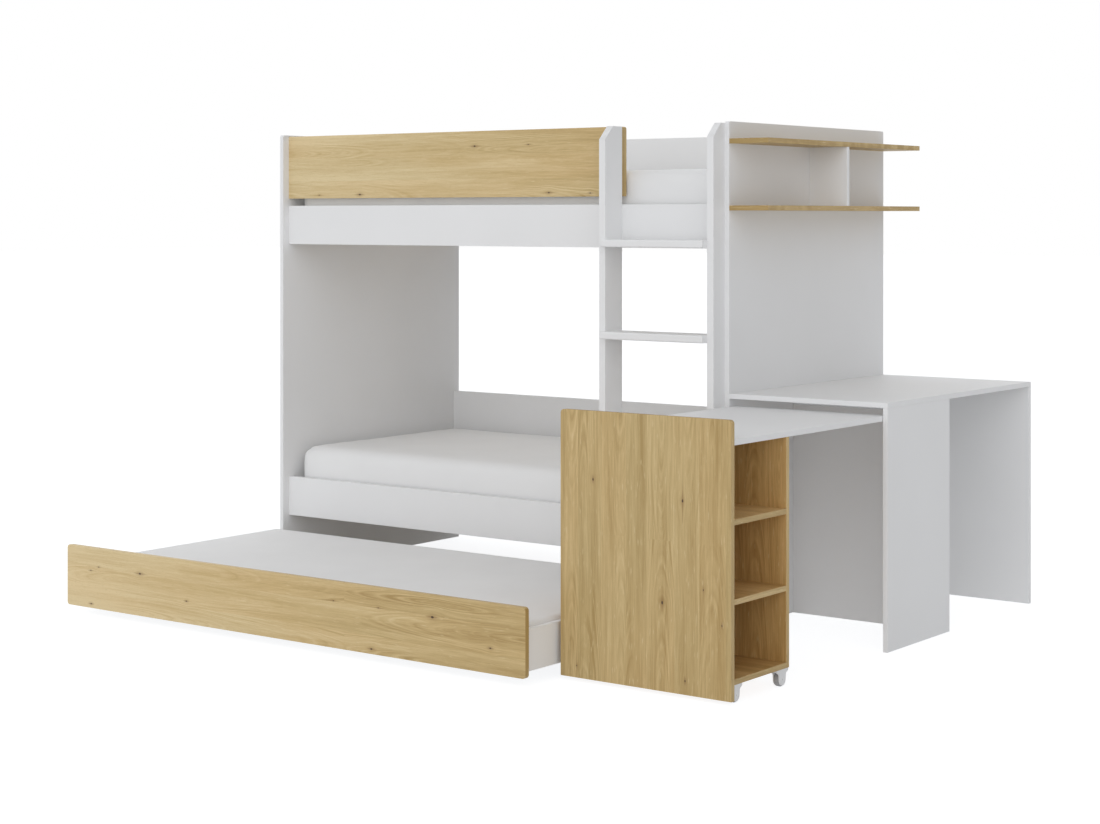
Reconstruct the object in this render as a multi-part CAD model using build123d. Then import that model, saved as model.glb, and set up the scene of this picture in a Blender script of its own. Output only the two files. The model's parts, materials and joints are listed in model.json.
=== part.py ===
from build123d import *
import os

os.makedirs("parts", exist_ok=True)

# All lengths are in millimetres.
# X runs along the bed towards the desks, Y towards the back and Z up.
# Positions are first counted from the front bottom corner of the left end panel.

# Laminated boards
BOARD = 16.0
THICK_BOARD = 25.0
BOARD_CORNER = 11.0

# Bed ends
BED_LENGTH = 1980.0
BED_DEPTH = 1038.0
END_HEIGHT = 1628.0
END_CORNER = 8.0

# Rails, guard board and back boards between the bed ends
RAIL_SETBACK = 30.0
RAIL_HEIGHT = 144.0
LOWER_RAIL_BOTTOM = 203.0
GUARD_BELOW_END_TOP = 5.0
GUARD_GAP = 27.0
GUARD_HEIGHT = 232.0
BACK_SETBACK = 18.0
LOWER_BACK_HEIGHT = 402.0

# Dowels that join the boards to the bed ends
DOWEL_DIAMETER = 8.0
DOWEL_FLUTES = 8
DOWEL_LENGTH = 34.0
DOWEL_CLEARANCE = 0.05
DOWEL_IN_END = 10.0
DOWEL_END_SLACK = 1.0
DOWEL_FROM_EDGE = 36.0

# Slatted bases
SLAT_COUNT = 13
SLAT_WIDTH = 70.0
SLAT_THICKNESS = 14.0
SLAT_TOP_OVER_RAIL_BOTTOM = 84.0
SLAT_SIDE_GAP = 2.0
SLAT_END_MARGIN = 30.0
BATTEN_DEPTH = 30.0
BATTEN_HEIGHT = 28.0
BATTEN_END_GAP = 12.0

# Bunk mattresses
MATTRESS_END_GAP = 24.0
MATTRESS_FRONT_GAP = 3.0
MATTRESS_BACK_GAP = 46.0
MATTRESS_THICKNESS = 176.0
MATTRESS_CROWN = 6.0
MATTRESS_EDGE = 55.0
MATTRESS_CORNER = 65.0
MATTRESS_FOOT_EDGE = 22.0
LENGTHWISE_CROWN = 1.0

# Ladder
LADDER_CLEAR_WIDTH = 396.0
POST_DEPTH = 98.0
POST_BOTTOM = 240.0
POST_CUT = 45.0
RUNG_THICKNESS = 25.0
RUNG_OVERHANG = 27.0
RUNG_BACK_INSET = 15.0
RUNG_SPACING = 302.0
TOP_RUNG_OVER_RAIL_BOTTOM = 28.0
RUNG_EDGE = 5.0

# Wall shelves on the right bed end
SHELF_DEPTH = 144.0
SHELF_BELOW_END_TOP = 55.0
SHELF_SPACING = 214.0

# Fixed desk
DESK_HEIGHT = 758.0
NICHE_WIDTH = 549.0
LEG_DEPTH = 418.0
PARTITION_CLEARANCE = 4.0

# Sliding desk
SLIDE_PULL = 867.0
SLIDE_STOP_GAP = 1.0
SLIDE_SIDE_GAP = 2.0
SLIDE_TOP_HEIGHT = 717.0
SLIDE_TOP_TUCK = 35.0
SLIDE_BOX_DEPTH = 313.0
SLIDE_FRONT_BOTTOM = 11.0
SLIDE_FRONT_OVER_TOP = 56.0
SLIDE_FRONT_SHORT = 5.0
SLIDE_SHELVES = 2

# Trundle
TRUNDLE_PULL = 1052.0
TRUNDLE_STOP_GAP = 1.0
TRUNDLE_END_GAP = 6.0
TRUNDLE_FLOOR_GAP = 24.0
TRUNDLE_FRONT_LAP = 22.0
TRUNDLE_SIDE_INSET = 8.0
TRUNDLE_SIDE_BOTTOM = 41.0
TRUNDLE_SIDE_HEIGHT = 120.0
TRUNDLE_REAR_GAP = 36.0
TRUNDLE_BASE_THICKNESS = 12.0
TRUNDLE_CASTOR_INSET_X = 300.0
TRUNDLE_CASTOR_INSET_Y = 240.0
PAD_GAP = 8.0
PAD_THICKNESS = 108.0
PAD_CROWN = 5.0
PAD_EDGE = 16.0
PAD_CORNER = 35.0
PAD_FOOT_EDGE = 8.0

# Castors
CASTOR_HEIGHT = 49.0
CASTOR_WIDTH = 22.0
CASTOR_FLANGE_LENGTH = 62.0
CASTOR_FLANGE_THICKNESS = 4.0
CASTOR_CHEEK = 3.5
CASTOR_CHEEK_RADIUS = 17.0
CASTOR_WAIST_STEP = 1.0
CASTOR_WAIST_HEIGHT = 0.45
CASTOR_SHOULDER_INSET = 2.0
CASTOR_SHOULDER_HEIGHT = 0.86
CASTOR_FLARE_TANGENT = (0.2, 1)
CASTOR_BRIDGE = 4.0
CASTOR_BRIDGE_LENGTH = 50.0
CASTOR_EDGE_GAP = 1.0
CASTOR_REAR_GAP = 4.0
WHEEL_RADIUS = 20.0
WHEEL_SIDE_GAP = 0.6
PIN_RADIUS = 2.5
PIN_CLEARANCE = 0.05

# Places worked out from the sizes above
INNER_LEFT = BOARD
INNER_RIGHT = BED_LENGTH - BOARD
RAIL_BACK = RAIL_SETBACK + THICK_BOARD
BACK_REAR = BED_DEPTH - BACK_SETBACK
BACK_FRONT = BACK_REAR - BOARD
GUARD_TOP = END_HEIGHT - GUARD_BELOW_END_TOP
GUARD_BOTTOM = GUARD_TOP - GUARD_HEIGHT
UPPER_RAIL_BOTTOM = GUARD_BOTTOM - GUARD_GAP - RAIL_HEIGHT
UPPER_SHELF_TOP = END_HEIGHT - SHELF_BELOW_END_TOP
LOWER_SHELF_TOP = UPPER_SHELF_TOP - SHELF_SPACING
RIGHT_POST_LEFT = INNER_RIGHT - THICK_BOARD
LEFT_POST_RIGHT = RIGHT_POST_LEFT - LADDER_CLEAR_WIDTH
LEFT_POST_LEFT = LEFT_POST_RIGHT - THICK_BOARD
POST_FRONT = RAIL_SETBACK - POST_DEPTH
LEG_INNER = BED_LENGTH + NICHE_WIDTH
LEG_OUTER = LEG_INNER + BOARD
DESK_UNDERSIDE = DESK_HEIGHT - BOARD
SLIDE_UNDERSIDE = SLIDE_TOP_HEIGHT - BOARD
SLIDE_FRONT_REAR = -SLIDE_STOP_GAP - SLIDE_PULL
SLIDE_FRONT_FACE = SLIDE_FRONT_REAR - BOARD
SLIDE_BOX_REAR = SLIDE_FRONT_REAR + SLIDE_BOX_DEPTH
SLIDE_LEFT = BED_LENGTH + SLIDE_SIDE_GAP
SLIDE_RIGHT = LEG_INNER - SLIDE_SIDE_GAP
TRUNDLE_FRONT_REAR = RAIL_SETBACK - TRUNDLE_STOP_GAP - TRUNDLE_PULL
TRUNDLE_FRONT_FACE = TRUNDLE_FRONT_REAR - BOARD
TRUNDLE_REAR = BED_DEPTH - TRUNDLE_REAR_GAP - TRUNDLE_PULL
TRUNDLE_FRONT_LEFT = INNER_LEFT + TRUNDLE_END_GAP
TRUNDLE_FRONT_RIGHT = INNER_RIGHT - TRUNDLE_END_GAP
TRUNDLE_LEFT = TRUNDLE_FRONT_LEFT + TRUNDLE_SIDE_INSET
TRUNDLE_RIGHT = TRUNDLE_FRONT_RIGHT - TRUNDLE_SIDE_INSET
TRUNDLE_SIDE_TOP = TRUNDLE_SIDE_BOTTOM + TRUNDLE_SIDE_HEIGHT

# The origin lies on the floor below the middle of the whole footprint, as pulled out
ORIGIN_X = LEG_OUTER / 2
ORIGIN_Y = (BED_DEPTH + min(TRUNDLE_FRONT_FACE, SLIDE_FRONT_FACE)) / 2


def save(name, *solids):
    """Move the solids to the origin and write them as one named piece."""
    moved = [Pos(-ORIGIN_X, -ORIGIN_Y, 0) * solid for solid in solids]
    shape = moved[0] if len(moved) == 1 else Compound(children=moved)
    shape.label = name
    export_step(shape, "parts/" + name + ".step")


def board(x_range, y_range, z_range):
    """A plain rectangular board between the given ends."""
    size = [high - low for low, high in (x_range, y_range, z_range)]
    middle = [(high + low) / 2 for low, high in (x_range, y_range, z_range)]
    return Pos(*middle) * Box(*size)


def round_corners(body, across, radius, top_only=False):
    """Round the corners of a board, seen along the given axis."""
    edges = body.edges().filter_by(across)
    if top_only:
        edges = edges.group_by(Axis.Z)[-1]
    return fillet(edges, radius)


# Dowelled joints

def dowel_heights(bottom, top):
    """Heights of the two dowels at the end of a board."""
    inset = min(DOWEL_FROM_EDGE, (top - bottom) / 4)
    return bottom + inset, top - inset


def dowel_places():
    """Bed end, Y and Z of every dowel."""
    front = RAIL_SETBACK + THICK_BOARD / 2
    back = (BACK_FRONT + BACK_REAR) / 2
    boards = [
        (front, LOWER_RAIL_BOTTOM, LOWER_RAIL_BOTTOM + RAIL_HEIGHT, ("left", "right")),
        (front, UPPER_RAIL_BOTTOM, UPPER_RAIL_BOTTOM + RAIL_HEIGHT, ("left", "right")),
        (front, GUARD_BOTTOM, GUARD_TOP, ("left",)),
        (back, LOWER_RAIL_BOTTOM, LOWER_RAIL_BOTTOM + LOWER_BACK_HEIGHT, ("left", "right")),
        (back, UPPER_RAIL_BOTTOM, GUARD_TOP, ("left", "right")),
    ]
    places = []
    for y, bottom, top, ends in boards:
        for end in ends:
            for z in dowel_heights(bottom, top):
                places.append((end, y, z))
    return places


def dowel_rod(end, y, z, radius, slack):
    """A fluted rod, drawn with flats, that reaches from a bed end into the board beside it."""
    in_board = DOWEL_LENGTH - DOWEL_IN_END
    if end == "left":
        start, stop = INNER_LEFT - DOWEL_IN_END - slack, INNER_LEFT + in_board + slack
    else:
        start, stop = INNER_RIGHT - in_board - slack, INNER_RIGHT + DOWEL_IN_END + slack
    flats = Plane.YZ * RegularPolygon(radius, DOWEL_FLUTES)
    return Pos(start, y, z) * extrude(flats, stop - start)


def dowelled(body, end_names=("left", "right")):
    """Bore the dowel holes that fall inside a body."""
    box = body.bounding_box()
    for end, y, z in dowel_places():
        inside_y = box.min.Y < y < box.max.Y
        inside_z = box.min.Z < z < box.max.Z
        if end in end_names and inside_y and inside_z:
            body -= dowel_rod(end, y, z, DOWEL_DIAMETER / 2 + DOWEL_CLEARANCE, DOWEL_END_SLACK)
    return body


def rail_dowels():
    """All the wooden dowels."""
    return [dowel_rod(end, y, z, DOWEL_DIAMETER / 2, 0) for end, y, z in dowel_places()]


# Bed frame

def end_panel(outer_x, end_name):
    """One full height bed end with rounded top corners."""
    panel = board((outer_x, outer_x + BOARD), (0, BED_DEPTH), (0, END_HEIGHT))
    panel = round_corners(panel, Axis.X, END_CORNER, top_only=True)
    return dowelled(panel, (end_name,))


def front_rail(bottom):
    """A rail along the front of one bunk."""
    rail = board((INNER_LEFT, INNER_RIGHT), (RAIL_SETBACK, RAIL_BACK), (bottom, bottom + RAIL_HEIGHT))
    return dowelled(rail)


def guard_board():
    """The oak guard in front of the upper mattress, ending at the ladder."""
    guard = board((INNER_LEFT, LEFT_POST_RIGHT), (RAIL_SETBACK, RAIL_BACK), (GUARD_BOTTOM, GUARD_TOP))
    right_top = guard.edges().filter_by(Axis.Y).group_by(Axis.Z)[-1].sort_by(Axis.X)[-1]
    guard = fillet(right_top, END_CORNER)
    return dowelled(guard, ("left",))


def back_board(bottom, top):
    """A back board behind one mattress, with rounded top corners."""
    back = board((INNER_LEFT, INNER_RIGHT), (BACK_FRONT, BACK_REAR), (bottom, top))
    back = round_corners(back, Axis.Y, BOARD_CORNER, top_only=True)
    return dowelled(back)


# Slatted bases

def slats(rail_bottom):
    """A row of loose slats that lie on the battens."""
    top = rail_bottom + SLAT_TOP_OVER_RAIL_BOTTOM
    first = INNER_LEFT + SLAT_END_MARGIN
    last = INNER_RIGHT - SLAT_END_MARGIN - SLAT_WIDTH
    pitch = (last - first) / (SLAT_COUNT - 1)
    row = []
    for number in range(SLAT_COUNT):
        left = first + number * pitch
        row.append(board(
            (left, left + SLAT_WIDTH),
            (RAIL_BACK + SLAT_SIDE_GAP, BACK_FRONT - SLAT_SIDE_GAP),
            (top - SLAT_THICKNESS, top),
        ))
    return row


def battens(rail_bottom):
    """The two battens that carry the slats, on the rail and on the back board."""
    top = rail_bottom + SLAT_TOP_OVER_RAIL_BOTTOM - SLAT_THICKNESS
    across = (INNER_LEFT + BATTEN_END_GAP, INNER_RIGHT - BATTEN_END_GAP)
    height = (top - BATTEN_HEIGHT, top)
    front = board(across, (RAIL_BACK, RAIL_BACK + BATTEN_DEPTH), height)
    back = board(across, (BACK_FRONT - BATTEN_DEPTH, BACK_FRONT), height)
    return [front, back]


# Mattresses

def cushion_section(width, thickness, crown, edge, foot):
    """Cross section of a mattress: flat below, rounded edges, slightly domed on top."""
    half = width / 2
    shoulder = half - edge
    sole = half - foot
    outline = [
        Line((-sole, 0), (sole, 0)),
        CenterArc((sole, foot), foot, -90, 90),
        Line((half, foot), (half, thickness - edge)),
        CenterArc((shoulder, thickness - edge), edge, 0, 90),
        ThreePointArc((shoulder, thickness), (0, thickness + crown), (-shoulder, thickness)),
        CenterArc((-shoulder, thickness - edge), edge, 90, 90),
        Line((-half, thickness - edge), (-half, foot)),
        CenterArc((-sole, foot), foot, 180, 90),
    ]
    return make_face(outline)


def mattress(x_range, y_range, bottom, thickness, crown, edge, foot, corner):
    """A mattress rounded along every edge and at the corners."""
    length = x_range[1] - x_range[0]
    width = y_range[1] - y_range[0]
    across = cushion_section(width, thickness, crown, edge, foot)
    along = cushion_section(length, thickness + crown, LENGTHWISE_CROWN, edge, foot)
    body = extrude(Plane.YZ * across, length, both=True)
    body &= extrude(Plane.XZ * along, width, both=True)
    body &= extrude(RectangleRounded(length, width, corner), 2 * thickness)
    return Pos(sum(x_range) / 2, sum(y_range) / 2, bottom) * body


def bunk_mattress(rail_bottom):
    """The mattress of one bunk, lying on its slats."""
    return mattress(
        (INNER_LEFT + MATTRESS_END_GAP, INNER_RIGHT - MATTRESS_END_GAP),
        (RAIL_BACK + MATTRESS_FRONT_GAP, BACK_FRONT - MATTRESS_BACK_GAP),
        rail_bottom + SLAT_TOP_OVER_RAIL_BOTTOM,
        MATTRESS_THICKNESS, MATTRESS_CROWN, MATTRESS_EDGE, MATTRESS_FOOT_EDGE, MATTRESS_CORNER,
    )


# Ladder

def ladder_post(left):
    """One ladder post with its top front corner cut off."""
    outline = Polyline(
        (POST_FRONT, POST_BOTTOM),
        (RAIL_SETBACK, POST_BOTTOM),
        (RAIL_SETBACK, GUARD_TOP),
        (POST_FRONT + POST_CUT, GUARD_TOP),
        (POST_FRONT, GUARD_TOP - POST_CUT),
        close=True,
    )
    return Pos(left, 0, 0) * extrude(Plane.YZ * make_face(outline), THICK_BOARD)


def rung_tops():
    """Heights of the treads, from the top one down to the last above the post foot."""
    top = UPPER_RAIL_BOTTOM + TOP_RUNG_OVER_RAIL_BOTTOM
    heights = []
    while top - RUNG_THICKNESS > POST_BOTTOM:
        heights.append(top)
        top -= RUNG_SPACING
    return heights


def ladder_rung(top):
    """One tread between the posts, standing out in front of them."""
    rung = board(
        (LEFT_POST_RIGHT, RIGHT_POST_LEFT),
        (POST_FRONT - RUNG_OVERHANG, RAIL_SETBACK - RUNG_BACK_INSET),
        (top - RUNG_THICKNESS, top),
    )
    front_edges = rung.edges().filter_by(Axis.X).group_by(Axis.Y)[0]
    return fillet(front_edges, RUNG_EDGE)


# Wall shelves

def wall_shelf(top):
    """A shelf on the outside of the right bed end."""
    return board((BED_LENGTH, BED_LENGTH + SHELF_DEPTH), (0, BED_DEPTH), (top - BOARD, top))


def shelf_divider():
    """The upright board halfway between the two shelves."""
    front = (BED_DEPTH - BOARD) / 2
    return board(
        (BED_LENGTH, BED_LENGTH + SHELF_DEPTH),
        (front, front + BOARD),
        (LOWER_SHELF_TOP, UPPER_SHELF_TOP - BOARD),
    )


# Fixed desk

def desk_top():
    """The fixed desk top, level along the whole bed end."""
    return board((BED_LENGTH, LEG_OUTER), (0, BED_DEPTH), (DESK_UNDERSIDE, DESK_HEIGHT))


def desk_leg():
    """The deep front leg below the outer edge of the desk top."""
    return board((LEG_INNER, LEG_OUTER), (0, LEG_DEPTH), (0, DESK_UNDERSIDE))


def desk_partition():
    """The board across behind the niche, low enough for the sliding top to pass over."""
    return board(
        (BED_LENGTH, LEG_INNER),
        (LEG_DEPTH - BOARD, LEG_DEPTH),
        (0, SLIDE_UNDERSIDE - PARTITION_CLEARANCE),
    )


def desk_back_panel():
    """The panel below the back end of the desk top."""
    return board((BED_LENGTH, LEG_OUTER), (BED_DEPTH - BOARD, BED_DEPTH), (0, DESK_UNDERSIDE))


# Sliding desk

def slide_front():
    """The tall oak front that closes the niche."""
    front = board(
        (INNER_RIGHT + SLIDE_SIDE_GAP, LEG_OUTER - SLIDE_FRONT_SHORT),
        (SLIDE_FRONT_FACE, SLIDE_FRONT_REAR),
        (SLIDE_FRONT_BOTTOM, SLIDE_TOP_HEIGHT + SLIDE_FRONT_OVER_TOP),
    )
    return round_corners(front, Axis.Y, BOARD_CORNER, top_only=True)


def slide_top():
    """The sliding desk top, its rear edge always below the fixed top."""
    return board(
        (SLIDE_LEFT, SLIDE_RIGHT),
        (SLIDE_FRONT_REAR, SLIDE_TOP_TUCK),
        (SLIDE_UNDERSIDE, SLIDE_TOP_HEIGHT),
    )


def slide_bottom():
    """The bottom board of the shelf box."""
    return board(
        (SLIDE_LEFT, SLIDE_RIGHT),
        (SLIDE_FRONT_REAR, SLIDE_BOX_REAR),
        (CASTOR_HEIGHT, CASTOR_HEIGHT + BOARD),
    )


def slide_side():
    """The side board at the rear of the shelf box."""
    return board(
        (SLIDE_LEFT, SLIDE_RIGHT),
        (SLIDE_BOX_REAR - BOARD, SLIDE_BOX_REAR),
        (CASTOR_HEIGHT + BOARD, SLIDE_UNDERSIDE),
    )


def slide_back():
    """The back board of the shelf box, next to the bed."""
    return board(
        (SLIDE_LEFT, SLIDE_LEFT + BOARD),
        (SLIDE_FRONT_REAR, SLIDE_BOX_REAR - BOARD),
        (CASTOR_HEIGHT + BOARD, SLIDE_UNDERSIDE),
    )


def slide_shelf(number):
    """One shelf of the box; the shelves share the height equally."""
    low = CASTOR_HEIGHT + BOARD
    bay = (SLIDE_UNDERSIDE - low - SLIDE_SHELVES * BOARD) / (SLIDE_SHELVES + 1)
    bottom = low + number * bay + (number - 1) * BOARD
    return board(
        (SLIDE_LEFT + BOARD, SLIDE_RIGHT),
        (SLIDE_FRONT_REAR, SLIDE_BOX_REAR - BOARD),
        (bottom, bottom + BOARD),
    )


# Trundle

def trundle_front():
    """The long oak front with rounded corners."""
    front = board(
        (TRUNDLE_FRONT_LEFT, TRUNDLE_FRONT_RIGHT),
        (TRUNDLE_FRONT_FACE, TRUNDLE_FRONT_REAR),
        (TRUNDLE_FLOOR_GAP, LOWER_RAIL_BOTTOM + TRUNDLE_FRONT_LAP),
    )
    return round_corners(front, Axis.Y, BOARD_CORNER)


def trundle_side(left):
    """One end board of the trundle box."""
    return board(
        (left, left + BOARD),
        (TRUNDLE_FRONT_REAR, TRUNDLE_REAR - BOARD),
        (TRUNDLE_SIDE_BOTTOM, TRUNDLE_SIDE_TOP),
    )


def trundle_back():
    """The long back board of the trundle box."""
    return board(
        (TRUNDLE_LEFT, TRUNDLE_RIGHT),
        (TRUNDLE_REAR - BOARD, TRUNDLE_REAR),
        (TRUNDLE_SIDE_BOTTOM, TRUNDLE_SIDE_TOP),
    )


def trundle_base():
    """The bottom board that carries the trundle mattress."""
    return board(
        (TRUNDLE_LEFT + BOARD, TRUNDLE_RIGHT - BOARD),
        (TRUNDLE_FRONT_REAR, TRUNDLE_REAR - BOARD),
        (CASTOR_HEIGHT, CASTOR_HEIGHT + TRUNDLE_BASE_THICKNESS),
    )


def trundle_mattress():
    """The thin mattress in the trundle box."""
    return mattress(
        (TRUNDLE_LEFT + BOARD + PAD_GAP / 2, TRUNDLE_RIGHT - BOARD - PAD_GAP / 2),
        (TRUNDLE_FRONT_REAR + PAD_GAP, TRUNDLE_REAR - BOARD - PAD_GAP),
        CASTOR_HEIGHT + TRUNDLE_BASE_THICKNESS,
        PAD_THICKNESS, PAD_CROWN, PAD_EDGE, PAD_FOOT_EDGE, PAD_CORNER,
    )


# Castors

def castor_cheek_outline():
    """Side of a castor housing around its axle: wide under the flange, drawn in to a round foot."""
    half = CASTOR_FLANGE_LENGTH / 2
    top = CASTOR_HEIGHT - CASTOR_FLANGE_THICKNESS - WHEEL_RADIUS
    foot = (CASTOR_CHEEK_RADIUS, 0)
    waist = (CASTOR_CHEEK_RADIUS + CASTOR_WAIST_STEP, top * CASTOR_WAIST_HEIGHT)
    shoulder = (half - CASTOR_SHOULDER_INSET, top * CASTOR_SHOULDER_HEIGHT)
    flare = make_face([
        Line((0, 0), foot),
        Line(foot, waist),
        Spline(waist, shoulder, (half, top), tangents=((0, 1), CASTOR_FLARE_TANGENT)),
        Line((half, top), (0, top)),
        Line((0, top), (0, 0)),
    ])
    return Circle(CASTOR_CHEEK_RADIUS) + flare + mirror(flare, Plane.YZ)


def castor_housing(x, y):
    """A castor housing: flange, bridge and two cheeks with the pin holes."""
    half_width = CASTOR_WIDTH / 2
    half_flange = CASTOR_FLANGE_LENGTH / 2
    half_bridge = CASTOR_BRIDGE_LENGTH / 2
    top = CASTOR_HEIGHT - CASTOR_FLANGE_THICKNESS
    body = board((-half_width, half_width), (-half_flange, half_flange), (top, CASTOR_HEIGHT))
    body += board((-half_width, half_width), (-half_bridge, half_bridge), (top - CASTOR_BRIDGE, top))
    cheek = extrude(Plane.YZ * castor_cheek_outline(), CASTOR_CHEEK)
    for left in (-half_width, half_width - CASTOR_CHEEK):
        body += Pos(left, 0, WHEEL_RADIUS) * cheek
    body -= Pos(0, 0, WHEEL_RADIUS) * Rot(0, 90, 0) * Cylinder(PIN_RADIUS, CASTOR_WIDTH)
    return Pos(x, y, 0) * body


def castor_pin(x, y):
    """The pin that carries one wheel, tight in the cheeks."""
    return Pos(x, y, WHEEL_RADIUS) * Rot(0, 90, 0) * Cylinder(PIN_RADIUS, CASTOR_WIDTH)


def castor_wheel(x, y):
    """One wheel, free on its pin."""
    width = CASTOR_WIDTH - 2 * CASTOR_CHEEK - 2 * WHEEL_SIDE_GAP
    rim_and_bore = Circle(WHEEL_RADIUS) - Circle(PIN_RADIUS + PIN_CLEARANCE)
    wheel = extrude(Plane.YZ * rim_and_bore, width / 2, both=True)
    return Pos(x, y, WHEEL_RADIUS) * wheel


def slide_castor_places():
    """Names and middles of the four castors below the shelf box."""
    side = CASTOR_WIDTH / 2 + CASTOR_EDGE_GAP
    half_flange = CASTOR_FLANGE_LENGTH / 2
    left, right = SLIDE_LEFT + side, SLIDE_RIGHT - side
    front = SLIDE_FRONT_REAR + half_flange + CASTOR_EDGE_GAP
    rear = SLIDE_BOX_REAR - half_flange - CASTOR_REAR_GAP
    return four_places(left, right, front, rear)


def trundle_castor_places():
    """Names and middles of the four castors below the trundle."""
    left, right = TRUNDLE_LEFT + TRUNDLE_CASTOR_INSET_X, TRUNDLE_RIGHT - TRUNDLE_CASTOR_INSET_X
    front = TRUNDLE_FRONT_REAR + TRUNDLE_CASTOR_INSET_Y
    rear = TRUNDLE_REAR - TRUNDLE_CASTOR_INSET_Y
    return four_places(left, right, front, rear)


def four_places(left, right, front, rear):
    """The four corners of a rectangle, by name."""
    return {
        "front_left": (left, front),
        "front_right": (right, front),
        "rear_left": (left, rear),
        "rear_right": (right, rear),
    }


def save_castors(owner, places):
    """Write the housings and pins of one set of castors, and each wheel on its own."""
    save(owner + "_castor_housings", *[castor_housing(x, y) for x, y in places.values()])
    save(owner + "_castor_pins", *[castor_pin(x, y) for x, y in places.values()])
    for corner, (x, y) in places.items():
        save(owner + "_castor_wheel_" + corner, castor_wheel(x, y))


def save_bed():
    """Write the bed frame, the mattresses and the ladder."""
    save("left_end_panel", end_panel(0, "left"))
    save("right_end_panel", end_panel(INNER_RIGHT, "right"))
    save("upper_front_rail", front_rail(UPPER_RAIL_BOTTOM))
    save("lower_front_rail", front_rail(LOWER_RAIL_BOTTOM))
    save("upper_guard_board", guard_board())
    save("upper_back_board", back_board(UPPER_RAIL_BOTTOM, GUARD_TOP))
    save("lower_back_board", back_board(LOWER_RAIL_BOTTOM, LOWER_RAIL_BOTTOM + LOWER_BACK_HEIGHT))
    save("rail_dowels", *rail_dowels())
    for bunk, rail_bottom in (("upper", UPPER_RAIL_BOTTOM), ("lower", LOWER_RAIL_BOTTOM)):
        save(bunk + "_slats", *slats(rail_bottom))
        save(bunk + "_slat_battens", *battens(rail_bottom))
        save(bunk + "_mattress", bunk_mattress(rail_bottom))
    save("ladder_left_post", ladder_post(LEFT_POST_LEFT))
    save("ladder_right_post", ladder_post(RIGHT_POST_LEFT))
    for number, top in enumerate(rung_tops(), start=1):
        save("ladder_rung_" + str(number), ladder_rung(top))


def save_desks():
    """Write the wall shelves, the fixed desk and the sliding desk."""
    save("upper_wall_shelf", wall_shelf(UPPER_SHELF_TOP))
    save("lower_wall_shelf", wall_shelf(LOWER_SHELF_TOP))
    save("wall_shelf_divider", shelf_divider())
    save("fixed_desk_top", desk_top())
    save("fixed_desk_leg", desk_leg())
    save("fixed_desk_partition", desk_partition())
    save("fixed_desk_back_panel", desk_back_panel())
    save("sliding_desk_front", slide_front())
    save("sliding_desk_top", slide_top())
    save("sliding_desk_bottom_board", slide_bottom())
    save("sliding_desk_side_board", slide_side())
    save("sliding_desk_back_board", slide_back())
    for number in range(1, SLIDE_SHELVES + 1):
        save("sliding_desk_shelf_" + str(number), slide_shelf(number))
    save_castors("sliding_desk", slide_castor_places())


def save_trundle():
    """Write the trundle."""
    save("trundle_front", trundle_front())
    save("trundle_left_side", trundle_side(TRUNDLE_LEFT))
    save("trundle_right_side", trundle_side(TRUNDLE_RIGHT - BOARD))
    save("trundle_back_board", trundle_back())
    save("trundle_base", trundle_base())
    save("trundle_mattress", trundle_mattress())
    save_castors("trundle", trundle_castor_places())


save_bed()
save_desks()
save_trundle()
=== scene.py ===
import json
import math

import bmesh
import bpy
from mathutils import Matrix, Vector, noise


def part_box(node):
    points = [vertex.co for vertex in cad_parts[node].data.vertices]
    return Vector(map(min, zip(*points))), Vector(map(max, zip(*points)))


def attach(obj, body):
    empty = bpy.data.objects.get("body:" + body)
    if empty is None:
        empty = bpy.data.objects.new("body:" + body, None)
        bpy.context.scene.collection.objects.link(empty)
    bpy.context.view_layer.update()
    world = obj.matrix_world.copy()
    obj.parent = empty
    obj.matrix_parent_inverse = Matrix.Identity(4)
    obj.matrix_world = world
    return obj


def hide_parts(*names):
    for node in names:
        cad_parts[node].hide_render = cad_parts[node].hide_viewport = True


# All lengths are in metres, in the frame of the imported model.

X, Y, Z = 0, 1, 2
QUARTER_TURN = math.pi / 2
WHITE = (1.0, 1.0, 1.0)

# Photograph: its size, focal length and the point straight ahead of the camera, in pixels
PHOTO_WIDTH, PHOTO_HEIGHT = 1100, 824
FOCAL_PIXELS = 2122.4
AHEAD_X, HORIZON_Y = 549.5, 216.6
CAMERA_PLACE = (4.3137, -5.7635, 1.3233)
CAMERA_TURN = math.radians(36.87)
SENSOR = 36.0

# Edges of boards and wheels
EDGE_ROUNDING = 0.0009
WHEEL_ROUNDING = 0.0015
SHARP_ANGLE = math.radians(50)
SAME_POINT = 0.00002

# White laminate, covers, bare wood, plastic and rubber: the two tones that each one lies between
LAMINATE_TONES = ((0.82, 0.82, 0.82), (0.88, 0.88, 0.885))
FABRIC_TONES = ((0.81, 0.81, 0.81), (0.87, 0.87, 0.87))
PINE_TONES = ((0.62, 0.46, 0.27), (0.80, 0.66, 0.45))
HOUSING_TONES = ((0.74, 0.74, 0.75), (0.80, 0.80, 0.80))
TREAD_TONES = ((0.30, 0.30, 0.31), (0.36, 0.36, 0.37))
STEEL_TONES = ((0.52, 0.52, 0.53), (0.66, 0.66, 0.67))
THREADS = 2600.0

# Oak laminate: planks lie side by side, with knots in some places
OAK_LIGHT = (0.750, 0.610, 0.355)
OAK_MIDDLE = (0.600, 0.450, 0.215)
OAK_DARK = (0.405, 0.275, 0.100)
OAK_HALO = (0.270, 0.150, 0.050)
OAK_KNOT = (0.085, 0.045, 0.018)
OAK_WARM_TINT = (1.08, 0.91, 0.76)
DARK_TONE, MIDDLE_TONE, LIGHT_TONE = 0.2, 0.5, 0.8
OAK_END_SHADE = 0.14
PLANKS_PER_METRE = 12.0
PLANK_SPREAD = 0.6
PLANK_SHIFT = 9.0
GRAIN_WANDER = 0.030
FACING = 0.7

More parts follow.
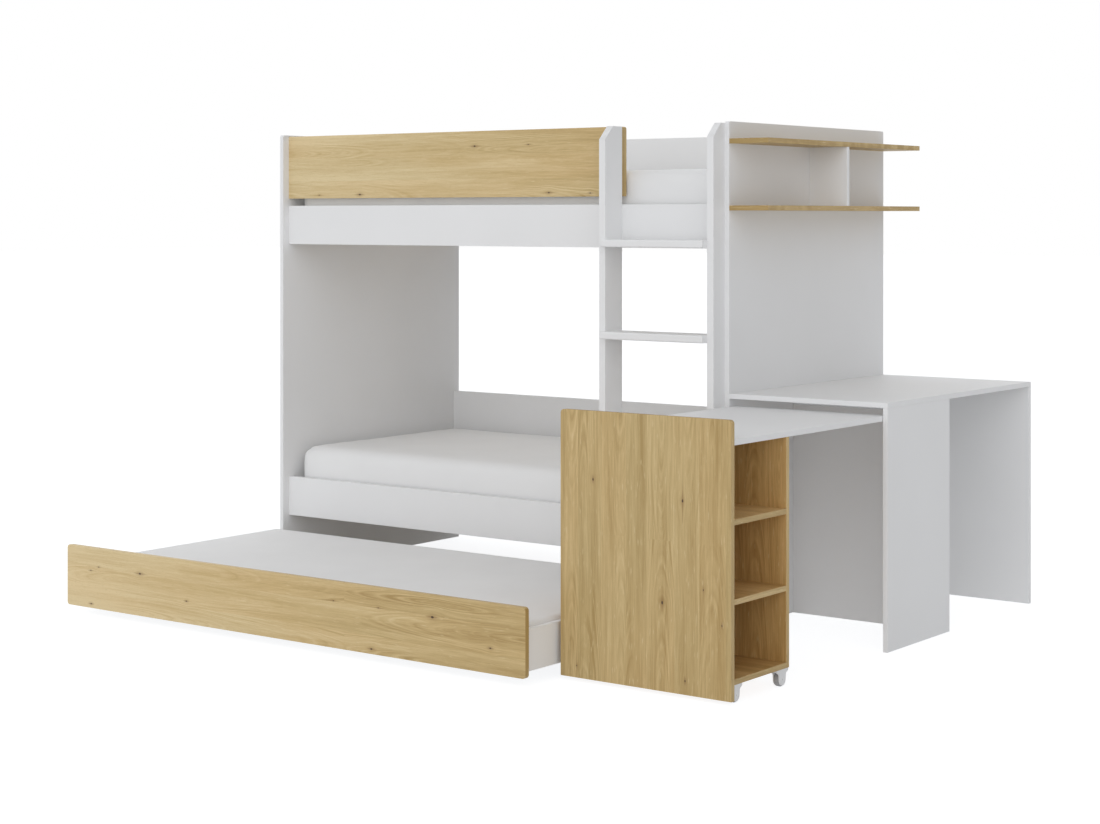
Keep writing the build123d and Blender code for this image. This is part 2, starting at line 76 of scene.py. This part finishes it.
# Noise in the oak: its scale along and across the grain, and how far it moves the tone
WANDER_SCALE = (1.5, 8.0)
BROAD_SCALE = (1.1, 24.0)
STREAK_SCALE = (4.0, 120.0)
FINE_SCALE = (16.0, 520.0)
FLECK_SCALE = (26.0, 230.0)
PORE_SCALE = (60.0, 1400.0)
PATCH_SCALE = (2.2, 9.0)
CLOUD_SCALE = (1.3, 3.0)
BROAD_WEIGHT = 0.62
STREAK_WEIGHT = 0.48
FINE_WEIGHT = 0.34
PLANK_WEIGHT = 0.19
RING_WEIGHT = 0.55

# Growth rings, and the arches that they close to
RINGS_PER_METRE = 330.0
ARCHES_PER_METRE = 0.7
ARCH_STRETCH = 0.09

# Knots: the reach of each of their marks, along and across the grain, in radii of the knot
KNOT_SWIRL = (9.0, 5.0)
KNOT_SHADOW = (3.5, 2.0)
KNOT_CORE = (1.15, 0.7)
KNOT_STREAK_WIDTH = 0.5
KNOT_SHADOW_WEIGHT = 0.7
KNOT_PUSH = -0.55

# Boards in oak: the axes of their grain and of their planks, with their knots, the painted light and shade
# that makes the tone lighter or darker towards each end of the grain, and painted bounce light on broad
# faces
OAK_BOARDS = {
    "upper_guard_board": dict(
        along=X, across=Z, painted_shading_ends=(0.21, -0.09),
        knots=(
            (0.587, 0.772, 0.0045, 0.030), (0.742, 0.777, 0.0025, 0.020), (0.800, 0.060, 0.0040, 0.035),
            (0.914, 0.050, 0.0030, 0.025), (0.234, 0.055, 0.0050, 0.020), (0.102, 0.050, 0.0025, 0.025),
        ),
    ),
    "trundle_front": dict(
        along=X, across=Z, painted_shading_ends=(0.27, -0.11),
        knots=(
            (0.183, 0.682, 0.0050, 0.030), (0.060, 0.620, 0.0025, 0.020), (0.080, 0.691, 0.0022, 0.020),
            (0.061, 0.070, 0.0035, 0.012), (0.295, 0.356, 0.0032, 0.010), (0.824, 0.678, 0.0055, 0.025),
            (0.623, 0.705, 0.0024, 0.035), (0.716, 0.697, 0.0024, 0.045), (0.702, 0.075, 0.0042, 0.018),
            (0.935, 0.360, 0.0036, 0.012),
        ),
    ),
    "sliding_desk_front": dict(
        along=Z, across=X, painted_shading_ends=(-0.18, -0.14),
        knots=(
            (0.746, 0.199, 0.0040, 0.010), (0.698, 0.726, 0.0045, 0.060), (0.322, 0.609, 0.0050, 0.022),
            (0.267, 0.948, 0.0026, 0.010), (0.050, 0.740, 0.0032, 0.012), (0.386, 0.844, 0.0024, 0.030),
            (0.045, 0.100, 0.0024, 0.050),
        ),
    ),
    # Painted shade and bounce light: the boards of the desk box are darker towards one end and warmer on
    # their broad faces
    "sliding_desk_side_board": dict(along=Z, across=X, painted_shading_ends=(-0.26, -0.12), painted_bounce_warmth=1.0),
    "sliding_desk_back_board": dict(along=Z, across=Y, painted_shading_ends=(-0.30, -0.02), painted_bounce_warmth=1.0),
    "sliding_desk_bottom_board": dict(along=X, across=Y, painted_shading_ends=(-0.30, -0.10), painted_bounce_warmth=1.0),
    "sliding_desk_shelf_1": dict(along=X, across=Y, painted_shading_ends=(-0.20, -0.05), painted_bounce_warmth=1.0),
    "sliding_desk_shelf_2": dict(along=X, across=Y, painted_shading_ends=(-0.05, 0.0), painted_bounce_warmth=1.0),
    "upper_wall_shelf": dict(along=Y, across=X, painted_shading_ends=(-0.12, -0.12)),
    "lower_wall_shelf": dict(along=Y, across=X, painted_shading_ends=(-0.12, -0.12)),
}
FIRST_SEED, SEED_STEP = 1.3, 3.7

# Mattress covers: how round their top edges, their foot and their corners are, the room left for
# the crown, how far they swell, how uneven they are, and the size of their mesh
BUNK_COVER = dict(edge=0.048, foot=0.022, corner=0.030, crown=0.004, swell=0.003, uneven=0.0018, voxel=0.019)
TRUNDLE_COVER = dict(
    edge=0.016, foot=0.008, corner=0.035, crown=0.003, swell=0.002, uneven=0.0010, voxel=0.013
)
LEAST_CORNER = 0.012
ARC_STEPS = 6

# Cloth of the covers
CLOTH_PRESSURE = 4.0
CLOTH_QUALITY = 4
CLOTH_FRAMES = 20

# Small waves in the covers: their scale along each axis, and the part of the height where they fade
WAVE_SCALE = (2.3, 3.1, 3.0)
RIPPLE_SCALE = (7.0, 9.0, 9.0)
RIPPLE_SHIFT = 5.0
RIPPLE_WEIGHT = 0.35
FADE_SHARE = 0.4

# Soft studio light from all round: an even part, broad soft lights and the glow of a white floor.
# Each soft light has a bearing and a height in degrees, and a strength.
EVEN_LIGHT = 0.14
SOFT_LIGHTS = ((-45, 15, 1.15), (-90, 15, 0.92), (180, 15, 0.80), (120, 15, 1.70), (0, 90, 0.36))
SOFT_LIGHT_FOCUS = 4.0
LIGHT_TINT = (0.980, 0.990, 1.005)
FLOOR_LIGHT = 0.31
FLOOR_TONE = 0.5
FLOOR_SEEN_LIGHT = 0.88
FLOOR_SEEN_TONE = 0.3
BELOW_BED_SHADE = 0.8
SHADE_BLUR = 0.06
FLOOR_REACH = 60.0
FLOOR_GAP = 0.0005

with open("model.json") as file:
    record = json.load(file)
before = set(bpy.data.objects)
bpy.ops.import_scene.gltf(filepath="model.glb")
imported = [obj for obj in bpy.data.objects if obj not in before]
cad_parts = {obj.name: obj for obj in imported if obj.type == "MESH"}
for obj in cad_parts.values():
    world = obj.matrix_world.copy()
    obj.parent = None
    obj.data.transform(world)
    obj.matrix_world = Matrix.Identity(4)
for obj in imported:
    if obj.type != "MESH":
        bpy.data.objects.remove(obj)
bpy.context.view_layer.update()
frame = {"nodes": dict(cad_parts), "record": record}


# Shader graphs

class Nodes:
    """A node graph, with a short way to add and link nodes."""

    def __init__(self, tree):
        self.tree = tree
        self.place = self.add("ShaderNodeTexCoord").outputs

    def put(self, socket, value):
        """Link a socket to another one, or set its value."""
        if isinstance(value, bpy.types.NodeSocket):
            self.tree.links.new(value, socket)
        elif isinstance(value, (tuple, list)) and len(value) == 3 and len(socket.default_value) == 4:
            socket.default_value = (*value, 1.0)
        else:
            socket.default_value = value

    def add(self, kind, inputs=None, **settings):
        """Add a node; inputs are given by name or number."""
        node = self.tree.nodes.new(kind)
        for name, value in settings.items():
            setattr(node, name, value)
        for key, value in (inputs or {}).items():
            self.put(node.inputs[key], value)
        return node

    def calc(self, operation, first, second=0.0, third=0.0):
        """One step of arithmetic."""
        return self.add("ShaderNodeMath", {0: first, 1: second, 2: third}, operation=operation).outputs[0]

    def split(self, vector):
        """The three parts of a vector."""
        return self.add("ShaderNodeSeparateXYZ", {0: vector}).outputs

    def join(self, x, y, z):
        """A vector from its three parts."""
        return self.add("ShaderNodeCombineXYZ", {0: x, 1: y, 2: z}).outputs[0]

    def scaled(self, vector, scale):
        """A vector with each part multiplied by its own factor."""
        return self.add("ShaderNodeVectorMath", {0: vector, 1: scale}, operation="MULTIPLY").outputs[0]

    def either(self, switch, off, on):
        """The first value where the switch is 0 and the second where it is 1."""
        return self.add("ShaderNodeMix", {0: switch, 2: off, 3: on}, data_type="FLOAT").outputs[0]

    def tint(self, amount, base, other):
        """Mix two colours."""
        return self.add("ShaderNodeMix", {0: amount, 6: base, 7: other}, data_type="RGBA").outputs[2]

    def span(self, value, low, high, to_low=0.0, to_high=1.0):
        """Map a range of values to another, with no overshoot."""
        return self.add("ShaderNodeMapRange", {0: value, 1: low, 2: high, 3: to_low, 4: to_high}).outputs[0]

    def noise(self, vector, scale=1.0, detail=2.0, roughness=0.5, distortion=0.0):
        """Smooth noise from 0 to 1, mostly near a half."""
        inputs = {"Vector": vector, "Scale": scale, "Detail": detail}
        inputs |= {"Roughness": roughness, "Distortion": distortion}
        return self.add("ShaderNodeTexNoise", inputs).outputs[0]

    def noise_line(self, value, detail=2.0):
        """Noise along one number."""
        inputs = {"W": value, "Scale": 1.0, "Detail": detail}
        return self.add("ShaderNodeTexNoise", inputs, noise_dimensions="1D").outputs[0]

    def grain_noise(self, grain, scale, detail, roughness=0.5):
        """Noise drawn out along the grain of wood."""
        along, across = scale
        return self.noise(self.scaled(grain, (along, across, across)), detail=detail, roughness=roughness)

    def vary(self, value, change, weight):
        """Move a value by how far a noise is from a half."""
        return self.calc("MULTIPLY_ADD", self.calc("SUBTRACT", change, 0.5), weight, value)

    def bell(self, first, second, middle, reach):
        """A smooth hump over a plane: 1 in the middle and about a third at its reach."""
        total = 0.0
        for value, at, width in zip((first, second), middle, reach):
            away = self.calc("MULTIPLY_ADD", value, 1.0 / width, -at / width)
            total = self.calc("MULTIPLY_ADD", away, away, total)
        return self.calc("POWER", math.exp(-1.0), total)


class Surface(Nodes):
    """A new material and its surface shader."""

    def __init__(self, name):
        self.material = bpy.data.materials.new(name)
        self.material.use_nodes = True
        super().__init__(self.material.node_tree)
        self.shader = self.tree.nodes["Principled BSDF"]

    def shade(self, **inputs):
        """Set inputs of the surface shader, with _ for a blank in their names."""
        for name, value in inputs.items():
            self.put(self.shader.inputs[name.replace("_", " ")], value)

    def roughen(self, pattern, low, high):
        """Let the roughness follow a noise."""
        self.shade(Roughness=self.span(pattern, 0.3, 0.7, low, high))

    def bump(self, height, strength, distance):
        """Small relief, seen in the shading alone."""
        normal = self.add("ShaderNodeBump", {"Height": height, "Strength": strength, "Distance": distance})
        self.put(self.shader.inputs["Normal"], normal.outputs[0])


# Materials

def white_laminate():
    """Satin white laminate with a faint pearl texture."""
    g = Surface("white_laminate")
    point = g.place["Object"]
    cloud = g.noise(point, scale=2.4, detail=2.0)
    grit = g.noise(point, scale=1500.0, detail=1.0)
    g.shade(Base_Color=g.tint(g.vary(cloud, grit, 0.35), *LAMINATE_TONES), Specular_IOR_Level=0.05)
    g.roughen(cloud, 0.46, 0.56)
    g.bump(grit, strength=0.08, distance=0.0003)
    return g.material


def knot_hump(g, length, width, place, radius, reach):
    """A hump round a knot, with its reach in radii of the knot."""
    return g.bell(length, width, place, (reach[0] * radius, reach[1] * radius))


def knot_marks(g, length, width, node, along, across, knots):
    """How far the knots push the grain aside, and where their shadow and their core are."""
    low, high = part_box(node)
    size = high - low
    pushed, halo, core = 0.0, 0.0, 0.0
    for share_along, share_across, radius, streak_length in knots:
        place = (low[along] + share_along * size[along], low[across] + share_across * size[across])
        swirl = knot_hump(g, length, width, place, radius, KNOT_SWIRL)
        beside = g.calc("SUBTRACT", width, place[1])
        pushed = g.calc("MULTIPLY_ADD", g.calc("MULTIPLY", beside, swirl), KNOT_PUSH, pushed)
        streak = g.bell(length, width, place, (streak_length, KNOT_STREAK_WIDTH * radius))
        shadow = knot_hump(g, length, width, place, radius, KNOT_SHADOW)
        halo = g.calc("ADD", halo, g.calc("MULTIPLY_ADD", shadow, KNOT_SHADOW_WEIGHT, streak))
        core = g.calc("ADD", core, knot_hump(g, length, width, place, radius, KNOT_CORE))
    return pushed, halo, core


def growth_rings(g, length, flow, plank_middle, arch_place, shift, seed):
    """Rings that run beside the middle of each plank and close to arches across it."""
    beside = g.calc("SUBTRACT", flow, plank_middle)
    turn = g.calc("FRACT", g.calc("MULTIPLY_ADD", length, ARCHES_PER_METRE, seed))
    arch = g.calc("MULTIPLY", g.calc("SUBTRACT", turn, arch_place), ARCH_STRETCH)
    squares = g.calc("ADD", g.calc("MULTIPLY", beside, beside), g.calc("MULTIPLY", arch, arch))
    return g.noise_line(g.calc("MULTIPLY_ADD", g.calc("SQRT", squares), RINGS_PER_METRE, shift))


def oak_colour(g, tone):
    """The oak's colour for a tone."""
    ramp = g.add("ShaderNodeValToRGB", {0: tone})
    stops = ramp.color_ramp.elements
    stops[0].position, stops[0].color = DARK_TONE, (*OAK_DARK, 1.0)
    stops[1].position, stops[1].color = LIGHT_TONE, (*OAK_LIGHT, 1.0)
    stops.new(MIDDLE_TONE).color = (*OAK_MIDDLE, 1.0)
    return ramp.outputs[0]


def oak_laminate(node, along, across, knots=(), painted_shading_ends=(0.0, 0.0), painted_bounce_warmth=0.0, seed=0.0):
    """Light oak laminate: planks side by side, with flowing grain, flecks, pores and knots.

    The grain follows one axis of the board, but on its two end edges it follows the edge.
    Knots are given by their place, as shares of the board, with their radius and the length
    of their dark streak. Painted light and shade makes the tone lighter or darker from one
    end of the grain to the other, and painted bounce light makes the broad faces warmer than
    the edges."""
    g = Surface("oak_" + node)
    low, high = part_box(node)
    point = g.split(g.place["Object"])
    through = X + Y + Z - along - across
    facing = g.split(g.place["Normal"])
    on_end = g.calc("GREATER_THAN", g.calc("ABSOLUTE", facing[along]), FACING)
    on_face = g.calc("GREATER_THAN", g.calc("ABSOLUTE", facing[through]), FACING)
    length = g.either(on_end, point[along], point[across])
    width = g.either(on_end, point[across], point[through])
    depth = g.either(on_end, point[through], point[along])
    pushed, halo, core = knot_marks(g, length, width, node, along, across, knots)
    flow = g.calc("ADD", width, pushed)

    plank_place = g.calc("MULTIPLY_ADD", width, PLANKS_PER_METRE, seed)
    plank_inputs = {"W": plank_place, "Scale": 1.0, "Randomness": PLANK_SPREAD}
    plank = g.add("ShaderNodeTexVoronoi", plank_inputs, voronoi_dimensions="1D").outputs
    chance = g.add("ShaderNodeSeparateColor", {0: plank["Color"]}).outputs
    shift = g.calc("MULTIPLY_ADD", chance[0], PLANK_SHIFT, seed)
    plank_middle = g.calc("DIVIDE", g.calc("SUBTRACT", plank["W"], seed), PLANKS_PER_METRE)

    start = g.calc("ADD", length, shift)
    wander = g.grain_noise(g.join(start, flow, depth), WANDER_SCALE, detail=2.0)
    flow = g.vary(flow, wander, GRAIN_WANDER)
    grain = g.join(start, flow, depth)
    broad = g.grain_noise(grain, BROAD_SCALE, detail=3.0)
    streaks = g.grain_noise(grain, STREAK_SCALE, detail=5.0, roughness=0.6)
    fine = g.grain_noise(grain, FINE_SCALE, detail=3.0)
    fleck = g.grain_noise(grain, FLECK_SCALE, detail=1.0)
    pore = g.grain_noise(grain, PORE_SCALE, detail=1.0)
    rings = growth_rings(g, length, flow, plank_middle, chance[1], shift, seed)
    patch = g.span(g.grain_noise(grain, PATCH_SCALE, detail=1.0), 0.42, 0.62)
    rings = g.calc("MULTIPLY", g.calc("SUBTRACT", rings, 0.5), patch)

    # Painted light and shade: the tone runs lighter or darker from one end of the grain to the other
    tone = g.span(point[along], low[along], high[along], MIDDLE_TONE + painted_shading_ends[0], MIDDLE_TONE + painted_shading_ends[1])
    tone = g.calc("MULTIPLY_ADD", on_end, -OAK_END_SHADE, tone)
    tone = g.vary(tone, broad, BROAD_WEIGHT)
    tone = g.vary(tone, streaks, STREAK_WEIGHT)
    tone = g.vary(tone, fine, FINE_WEIGHT)
    tone = g.vary(tone, chance[2], PLANK_WEIGHT)
    tone = g.calc("MULTIPLY_ADD", rings, RING_WEIGHT, tone)

    colour = oak_colour(g, tone)
    cloud = g.span(g.grain_noise(grain, CLOUD_SCALE, detail=1.0), 0.35, 0.65, 0.0, 0.22)
    # Random warm clouds in the oak, plus painted bounce light that tints the broad faces of the desk box
    # boards warmer
    warm_cloud_and_bounce = g.calc("MULTIPLY_ADD", on_face, painted_bounce_warmth, cloud)
    colour = g.tint(warm_cloud_and_bounce, colour, g.scaled(colour, OAK_WARM_TINT))
    colour = g.tint(g.span(fleck, 0.66, 0.76, 0.0, 0.45), colour, OAK_LIGHT)
    pores = g.span(pore, 0.60, 0.70, 0.0, 0.30)
    colour = g.tint(pores, colour, OAK_DARK)
    if knots:
        colour = g.tint(g.span(halo, 0.1, 1.2, 0.0, 0.62), colour, OAK_HALO)
        colour = g.tint(g.span(core, 0.35, 0.6), colour, OAK_KNOT)
    g.shade(Base_Color=colour)
    g.roughen(streaks, 0.46, 0.56)
    g.bump(g.calc("SUBTRACT", streaks, pores), strength=0.12, distance=0.0006)
    return g.material


def plain_wood(name, along):
    """Bare pale wood with straight grain."""
    g = Surface(name)
    scale = [70.0, 70.0, 70.0]
    scale[along] = 2.5
    grain = g.scaled(g.place["Object"], tuple(scale))
    broad = g.noise(grain, detail=3.0, distortion=0.4)
    fine = g.noise(grain, scale=6.0, detail=3.0, roughness=0.6)
    g.shade(Base_Color=g.tint(g.span(g.vary(broad, fine, 0.6), 0.3, 0.7), *PINE_TONES))
    g.roughen(fine, 0.55, 0.68)
    g.bump(fine, strength=0.15, distance=0.0004)
    return g.material


def mattress_fabric():
    """Smooth white cover with a fine knit."""
    g = Surface("mattress_fabric")
    point = g.place["Object"]
    cloud = g.noise(point, scale=5.0, detail=3.0)
    fuzz = g.noise(point, scale=700.0, detail=2.0)
    knit = 0.0
    for part in g.split(point):
        thread = g.calc("SINE", g.calc("MULTIPLY", part, THREADS))
        knit = g.calc("ADD", thread, knit)
    g.shade(Base_Color=g.tint(g.vary(cloud, fuzz, 0.5), *FABRIC_TONES))
    g.shade(Roughness=0.9, Sheen_Weight=0.15, Sheen_Roughness=0.5)
    g.bump(g.calc("MULTIPLY_ADD", knit, 0.12, fuzz), strength=0.12, distance=0.0006)
    return g.material


def moulded(name, tones, roughness):
    """Moulded plastic or rubber with a faint grain."""
    g = Surface(name)
    point = g.place["Object"]
    cloud = g.noise(point, scale=35.0, detail=2.0)
    grit = g.noise(point, scale=2500.0, detail=1.0)
    g.shade(Base_Color=g.tint(cloud, *tones))
    g.roughen(grit, roughness - 0.06, roughness + 0.06)
    g.bump(grit, strength=0.1, distance=0.0002)
    return g.material


def steel():
    """Plain turned steel."""
    g = Surface("pin_steel")
    marks = g.noise(g.scaled(g.place["Object"], (2500.0, 60.0, 60.0)), detail=2.0)
    g.shade(Base_Color=g.tint(marks, *STEEL_TONES), Metallic=1.0)
    g.roughen(marks, 0.30, 0.42)
    return g.material


# Boards and castors

def set_material(node, material):
    """Give a CAD node its material in every slot."""
    slots = frame["nodes"][node].material_slots
    if not slots:
        frame["nodes"][node].data.materials.append(material)
    for slot in slots:
        slot.material = material


def round_edges(node, radius=EDGE_ROUNDING):
    """Take the sharpness off a piece's edges, without changing its mesh."""
    piece = frame["nodes"][node]
    weld = piece.modifiers.new("weld", "WELD")
    weld.merge_threshold = SAME_POINT
    rounding = piece.modifiers.new("edge_rounding", "BEVEL")
    rounding.width = radius
    rounding.segments = 2
    rounding.limit_method = "ANGLE"
    rounding.angle_limit = SHARP_ANGLE
    shading = piece.modifiers.new("even_shading", "WEIGHTED_NORMAL")
    shading.keep_sharp = False


def dress_boards():
    """Materials and edges of everything that keeps its CAD shape."""
    white = white_laminate()
    pale_wood = {axis: plain_wood(f"slat_wood_{axis}", axis) for axis in (X, Y)}
    housing = moulded("castor_white", HOUSING_TONES, roughness=0.4)
    tread = moulded("castor_grey", TREAD_TONES, roughness=0.6)
    pin = steel()
    for number, (node, look) in enumerate(OAK_BOARDS.items()):
        set_material(node, oak_laminate(node, seed=SEED_STEP * number + FIRST_SEED, **look))
        round_edges(node)
    for entry in frame["record"]["subparts"]:
        node, slot = entry["node"], entry["material_slot"]
        if slot == "white_laminate":
            set_material(node, white)
            round_edges(node)
        elif slot == "slat_wood":
            set_material(node, pale_wood[Y if node.endswith("slats") else X])
            round_edges(node)
        elif slot == "dowel_wood":
            set_material(node, pale_wood[X])
        elif slot == "castor_white":
            set_material(node, housing)
        elif slot == "castor_grey":
            set_material(node, tread)
            round_edges(node, WHEEL_ROUNDING)
        elif slot == "pin_steel":
            set_material(node, pin)


# Mattresses

def rounded_outline(middle, half_x, half_y, radius, z):
    """A ring of points round a rectangle with round corners, at one height."""
    reach_x, reach_y = half_x - radius, half_y - radius
    ring = []
    for quarter, (side_x, side_y) in enumerate(((1, 1), (-1, 1), (-1, -1), (1, -1))):
        for step in range(ARC_STEPS + 1):
            angle = QUARTER_TURN * (quarter + step / ARC_STEPS)
            x = side_x * reach_x + radius * math.cos(angle)
            y = side_y * reach_y + radius * math.sin(angle)
            ring.append(Vector((middle.x + x, middle.y + y, z)))
    return ring


def rounded_block(name, low, high, edge, foot, corner, crown):
    """A closed block with round edges and corners, built from stacked outlines.

    Its flat top lies lower by the crown, which it gets when the cover swells."""
    middle = (low + high) / 2
    half_x, half_y = (high.x - low.x) / 2, (high.y - low.y) / 2
    angles = [QUARTER_TURN * step / ARC_STEPS for step in range(ARC_STEPS + 1)]
    levels = [(foot * (1 - math.sin(angle)), low.z + foot * (1 - math.cos(angle))) for angle in angles]
    top = high.z - crown
    levels += [(edge * (1 - math.cos(angle)), top - edge * (1 - math.sin(angle))) for angle in angles]

    bm = bmesh.new()
    rings = []
    for inset, z in levels:
        radius = max(corner - inset, LEAST_CORNER)
        outline = rounded_outline(middle, half_x - inset, half_y - inset, radius, z)
        rings.append([bm.verts.new(point) for point in outline])
    count = len(rings[0])
    for lower, upper in zip(rings, rings[1:]):
        for here in range(count):
            there = (here + 1) % count
            bm.faces.new((lower[here], lower[there], upper[there], upper[here]))
    bm.faces.new(reversed(rings[0]))
    bm.faces.new(rings[-1])
    mesh = bpy.data.meshes.new(name)
    bm.to_mesh(mesh)
    bm.free()
    piece = bpy.data.objects.new(name, mesh)
    bpy.context.scene.collection.objects.link(piece)
    return piece


def apply_modifiers(piece):
    """Replace a piece's mesh by what its modifiers make of it."""
    graph = bpy.context.evaluated_depsgraph_get()
    made = bpy.data.meshes.new_from_object(piece.evaluated_get(graph))
    piece.modifiers.clear()
    piece.data = made


def remesh(piece, size):
    """Even quads over the whole piece."""
    modifier = piece.modifiers.new("remesh", "REMESH")
    modifier.mode = "VOXEL"
    modifier.voxel_size = size
    apply_modifiers(piece)


def inflate(piece, furthest):
    """Let the cover swell like cloth over foam, each point moving no further than the given distance."""
    rest = [vertex.co.copy() for vertex in piece.data.vertices]
    cloth = piece.modifiers.new("cloth", "CLOTH")
    cloth.settings.use_pressure = True
    cloth.settings.uniform_pressure_force = CLOTH_PRESSURE
    cloth.settings.effector_weights.gravity = 0.0
    cloth.settings.quality = CLOTH_QUALITY
    cloth.collision_settings.use_collision = False
    scene = bpy.context.scene
    cloth.point_cache.frame_start, cloth.point_cache.frame_end = 1, CLOTH_FRAMES
    for number in range(1, CLOTH_FRAMES + 1):
        scene.frame_set(number)
    apply_modifiers(piece)
    scene.frame_set(1)
    for vertex, start in zip(piece.data.vertices, rest):
        move = vertex.co - start
        if move.length > furthest:
            vertex.co = start + move * (furthest / move.length)


def smooth_noise(point, scale, shift=0.0):
    """Noise at a point, with its own scale along each axis."""
    return noise.noise(Vector((point.x * scale[0] + shift, point.y * scale[1], point.z * scale[2])))


def soften(piece, low, high, uneven):
    """Small waves in the cover, none where it lies on its base."""
    fade = FADE_SHARE * (high.z - low.z)
    directions = [vertex.normal.copy() for vertex in piece.data.vertices]
    for vertex, direction in zip(piece.data.vertices, directions):
        point = vertex.co
        above = min(1.0, max(0.0, (point.z - low.z) / fade))
        wave = smooth_noise(point, WAVE_SCALE)
        ripple = smooth_noise(point, RIPPLE_SCALE, RIPPLE_SHIFT)
        vertex.co = point + direction * (uneven * above * (wave + RIPPLE_WEIGHT * ripple))


def mattress(name, node, body, material, edge, foot, corner, crown, swell, uneven, voxel):
    """A soft mattress in the space that its CAD solid holds."""
    low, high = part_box(node)
    inset = Vector((swell, swell, 0.0))
    top_inset = Vector((0.0, 0.0, swell))
    piece = rounded_block(name, low + inset, high - inset - top_inset, edge, foot, corner, crown)
    remesh(piece, voxel)
    inflate(piece, swell)
    for vertex in piece.data.vertices:
        vertex.co.z = max(vertex.co.z, low.z)
    soften(piece, low, high, uneven)
    finer = piece.modifiers.new("finer", "SUBSURF")
    finer.levels = finer.render_levels = 1
    apply_modifiers(piece)
    piece.data.materials.append(material)
    for polygon in piece.data.polygons:
        polygon.use_smooth = True
    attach(piece, body)
    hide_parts(node)


def make_mattresses():
    """The two bunk mattresses and the thin trundle mattress."""
    fabric = mattress_fabric()
    mattress("upper_mattress_cover", "upper_mattress", "bed_frame", fabric, **BUNK_COVER)
    mattress("lower_mattress_cover", "lower_mattress", "bed_frame", fabric, **BUNK_COVER)
    mattress("trundle_mattress_cover", "trundle_mattress", "trundle", fabric, **TRUNDLE_COVER)


# Stage

def see_white(g):
    """A switch that is on for camera, mirror and glass rays."""
    rays = g.add("ShaderNodeLightPath").outputs
    switch = rays["Is Camera Ray"]
    for kind in ("Is Glossy Ray", "Is Transmission Ray"):
        switch = g.calc("MAXIMUM", switch, rays[kind])
    return switch


def soft_light(g, bearing, height, strength):
    """The strength of one broad soft light in a direction."""
    turn, rise = math.radians(bearing), math.radians(height)
    middle = (math.cos(turn) * math.cos(rise), math.sin(turn) * math.cos(rise), math.sin(rise))
    towards = g.add("ShaderNodeVectorMath", {0: g.place["Generated"], 1: middle}, operation="DOT_PRODUCT")
    facing = g.calc("MAXIMUM", towards.outputs["Value"], 0.0)
    return g.calc("MULTIPLY", g.calc("POWER", facing, SOFT_LIGHT_FOCUS), strength)


def make_world():
    """Soft studio light from all round, seen as white."""
    world = bpy.data.worlds.new("studio")
    bpy.context.scene.world = world
    world.use_nodes = True
    world.node_tree.nodes.clear()
    g = Nodes(world.node_tree)
    total = EVEN_LIGHT
    for bearing, height, strength in SOFT_LIGHTS:
        total = g.calc("ADD", soft_light(g, bearing, height, strength), total)
    light = g.add("ShaderNodeBackground", {"Color": LIGHT_TINT, "Strength": total})
    seen = g.add("ShaderNodeBackground", {"Color": WHITE, "Strength": 1.0})
    mix = g.add("ShaderNodeMixShader", {0: see_white(g), 1: light.outputs[0], 2: seen.outputs[0]})
    g.add("ShaderNodeOutputWorld", {0: mix.outputs[0]})


def glowing(g, tone, strength):
    """A matt surface that also gives light."""
    matt = g.add("ShaderNodeBsdfDiffuse", {"Color": (tone, tone, tone)})
    glow = g.add("ShaderNodeEmission", {"Color": LIGHT_TINT, "Strength": strength})
    return g.add("ShaderNodeAddShader", {0: matt.outputs[0], 1: glow.outputs[0]}).outputs[0]


def below_bed(g):
    """1 on the floor below the bed and its trundle, 0 beside them."""
    left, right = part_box("left_end_panel"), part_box("right_end_panel")
    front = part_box("trundle_front")[0].y
    place = g.split(g.place["Object"])
    inside = 1.0
    for axis, low, high in ((X, left[0].x, right[1].x), (Y, front, left[1].y)):
        middle, half = (low + high) / 2, (high - low) / 2
        away = g.calc("ABSOLUTE", g.calc("SUBTRACT", place[axis], middle))
        within = g.span(away, half - SHADE_BLUR, half + SHADE_BLUR, 1.0, 0.0)
        inside = g.calc("MULTIPLY", within, inside)
    return inside


def make_floor():
    """A wide white floor that lights the part from below and keeps its soft shadow."""
    reach = FLOOR_REACH
    corners = [(-reach, -reach), (reach, -reach), (reach, reach), (-reach, reach)]
    mesh = bpy.data.meshes.new("floor")
    mesh.from_pydata([(x, y, -FLOOR_GAP) for x, y in corners], [], [(0, 1, 2, 3)])
    floor = bpy.data.objects.new("floor", mesh)
    bpy.context.scene.collection.objects.link(floor)
    material = bpy.data.materials.new("floor")
    material.use_nodes = True
    material.node_tree.nodes.clear()
    g = Nodes(material.node_tree)
    light = g.calc("MULTIPLY_ADD", below_bed(g), -FLOOR_LIGHT * BELOW_BED_SHADE, FLOOR_LIGHT)
    lit = glowing(g, FLOOR_TONE, light)
    seen = glowing(g, FLOOR_SEEN_TONE, FLOOR_SEEN_LIGHT)
    mix = g.add("ShaderNodeMixShader", {0: see_white(g), 1: lit, 2: seen})
    g.add("ShaderNodeOutputMaterial", {0: mix.outputs[0]})
    mesh.materials.append(material)


def make_camera():
    """The photograph's level view, moved within the frame by shift."""
    camera = bpy.data.cameras.new("camera")
    camera.sensor_width = SENSOR
    camera.lens = FOCAL_PIXELS * SENSOR / PHOTO_WIDTH
    camera.shift_x = (PHOTO_WIDTH / 2 - AHEAD_X) / PHOTO_WIDTH
    camera.shift_y = (HORIZON_Y - PHOTO_HEIGHT / 2) / PHOTO_WIDTH
    holder = bpy.data.objects.new("camera", camera)
    holder.location = CAMERA_PLACE
    holder.rotation_euler = (QUARTER_TURN, 0.0, CAMERA_TURN)
    bpy.context.scene.collection.objects.link(holder)
    bpy.context.scene.camera = holder


make_camera()
make_world()
make_floor()
dress_boards()
make_mattresses()

bpy.context.scene.view_settings.view_transform = "Standard"
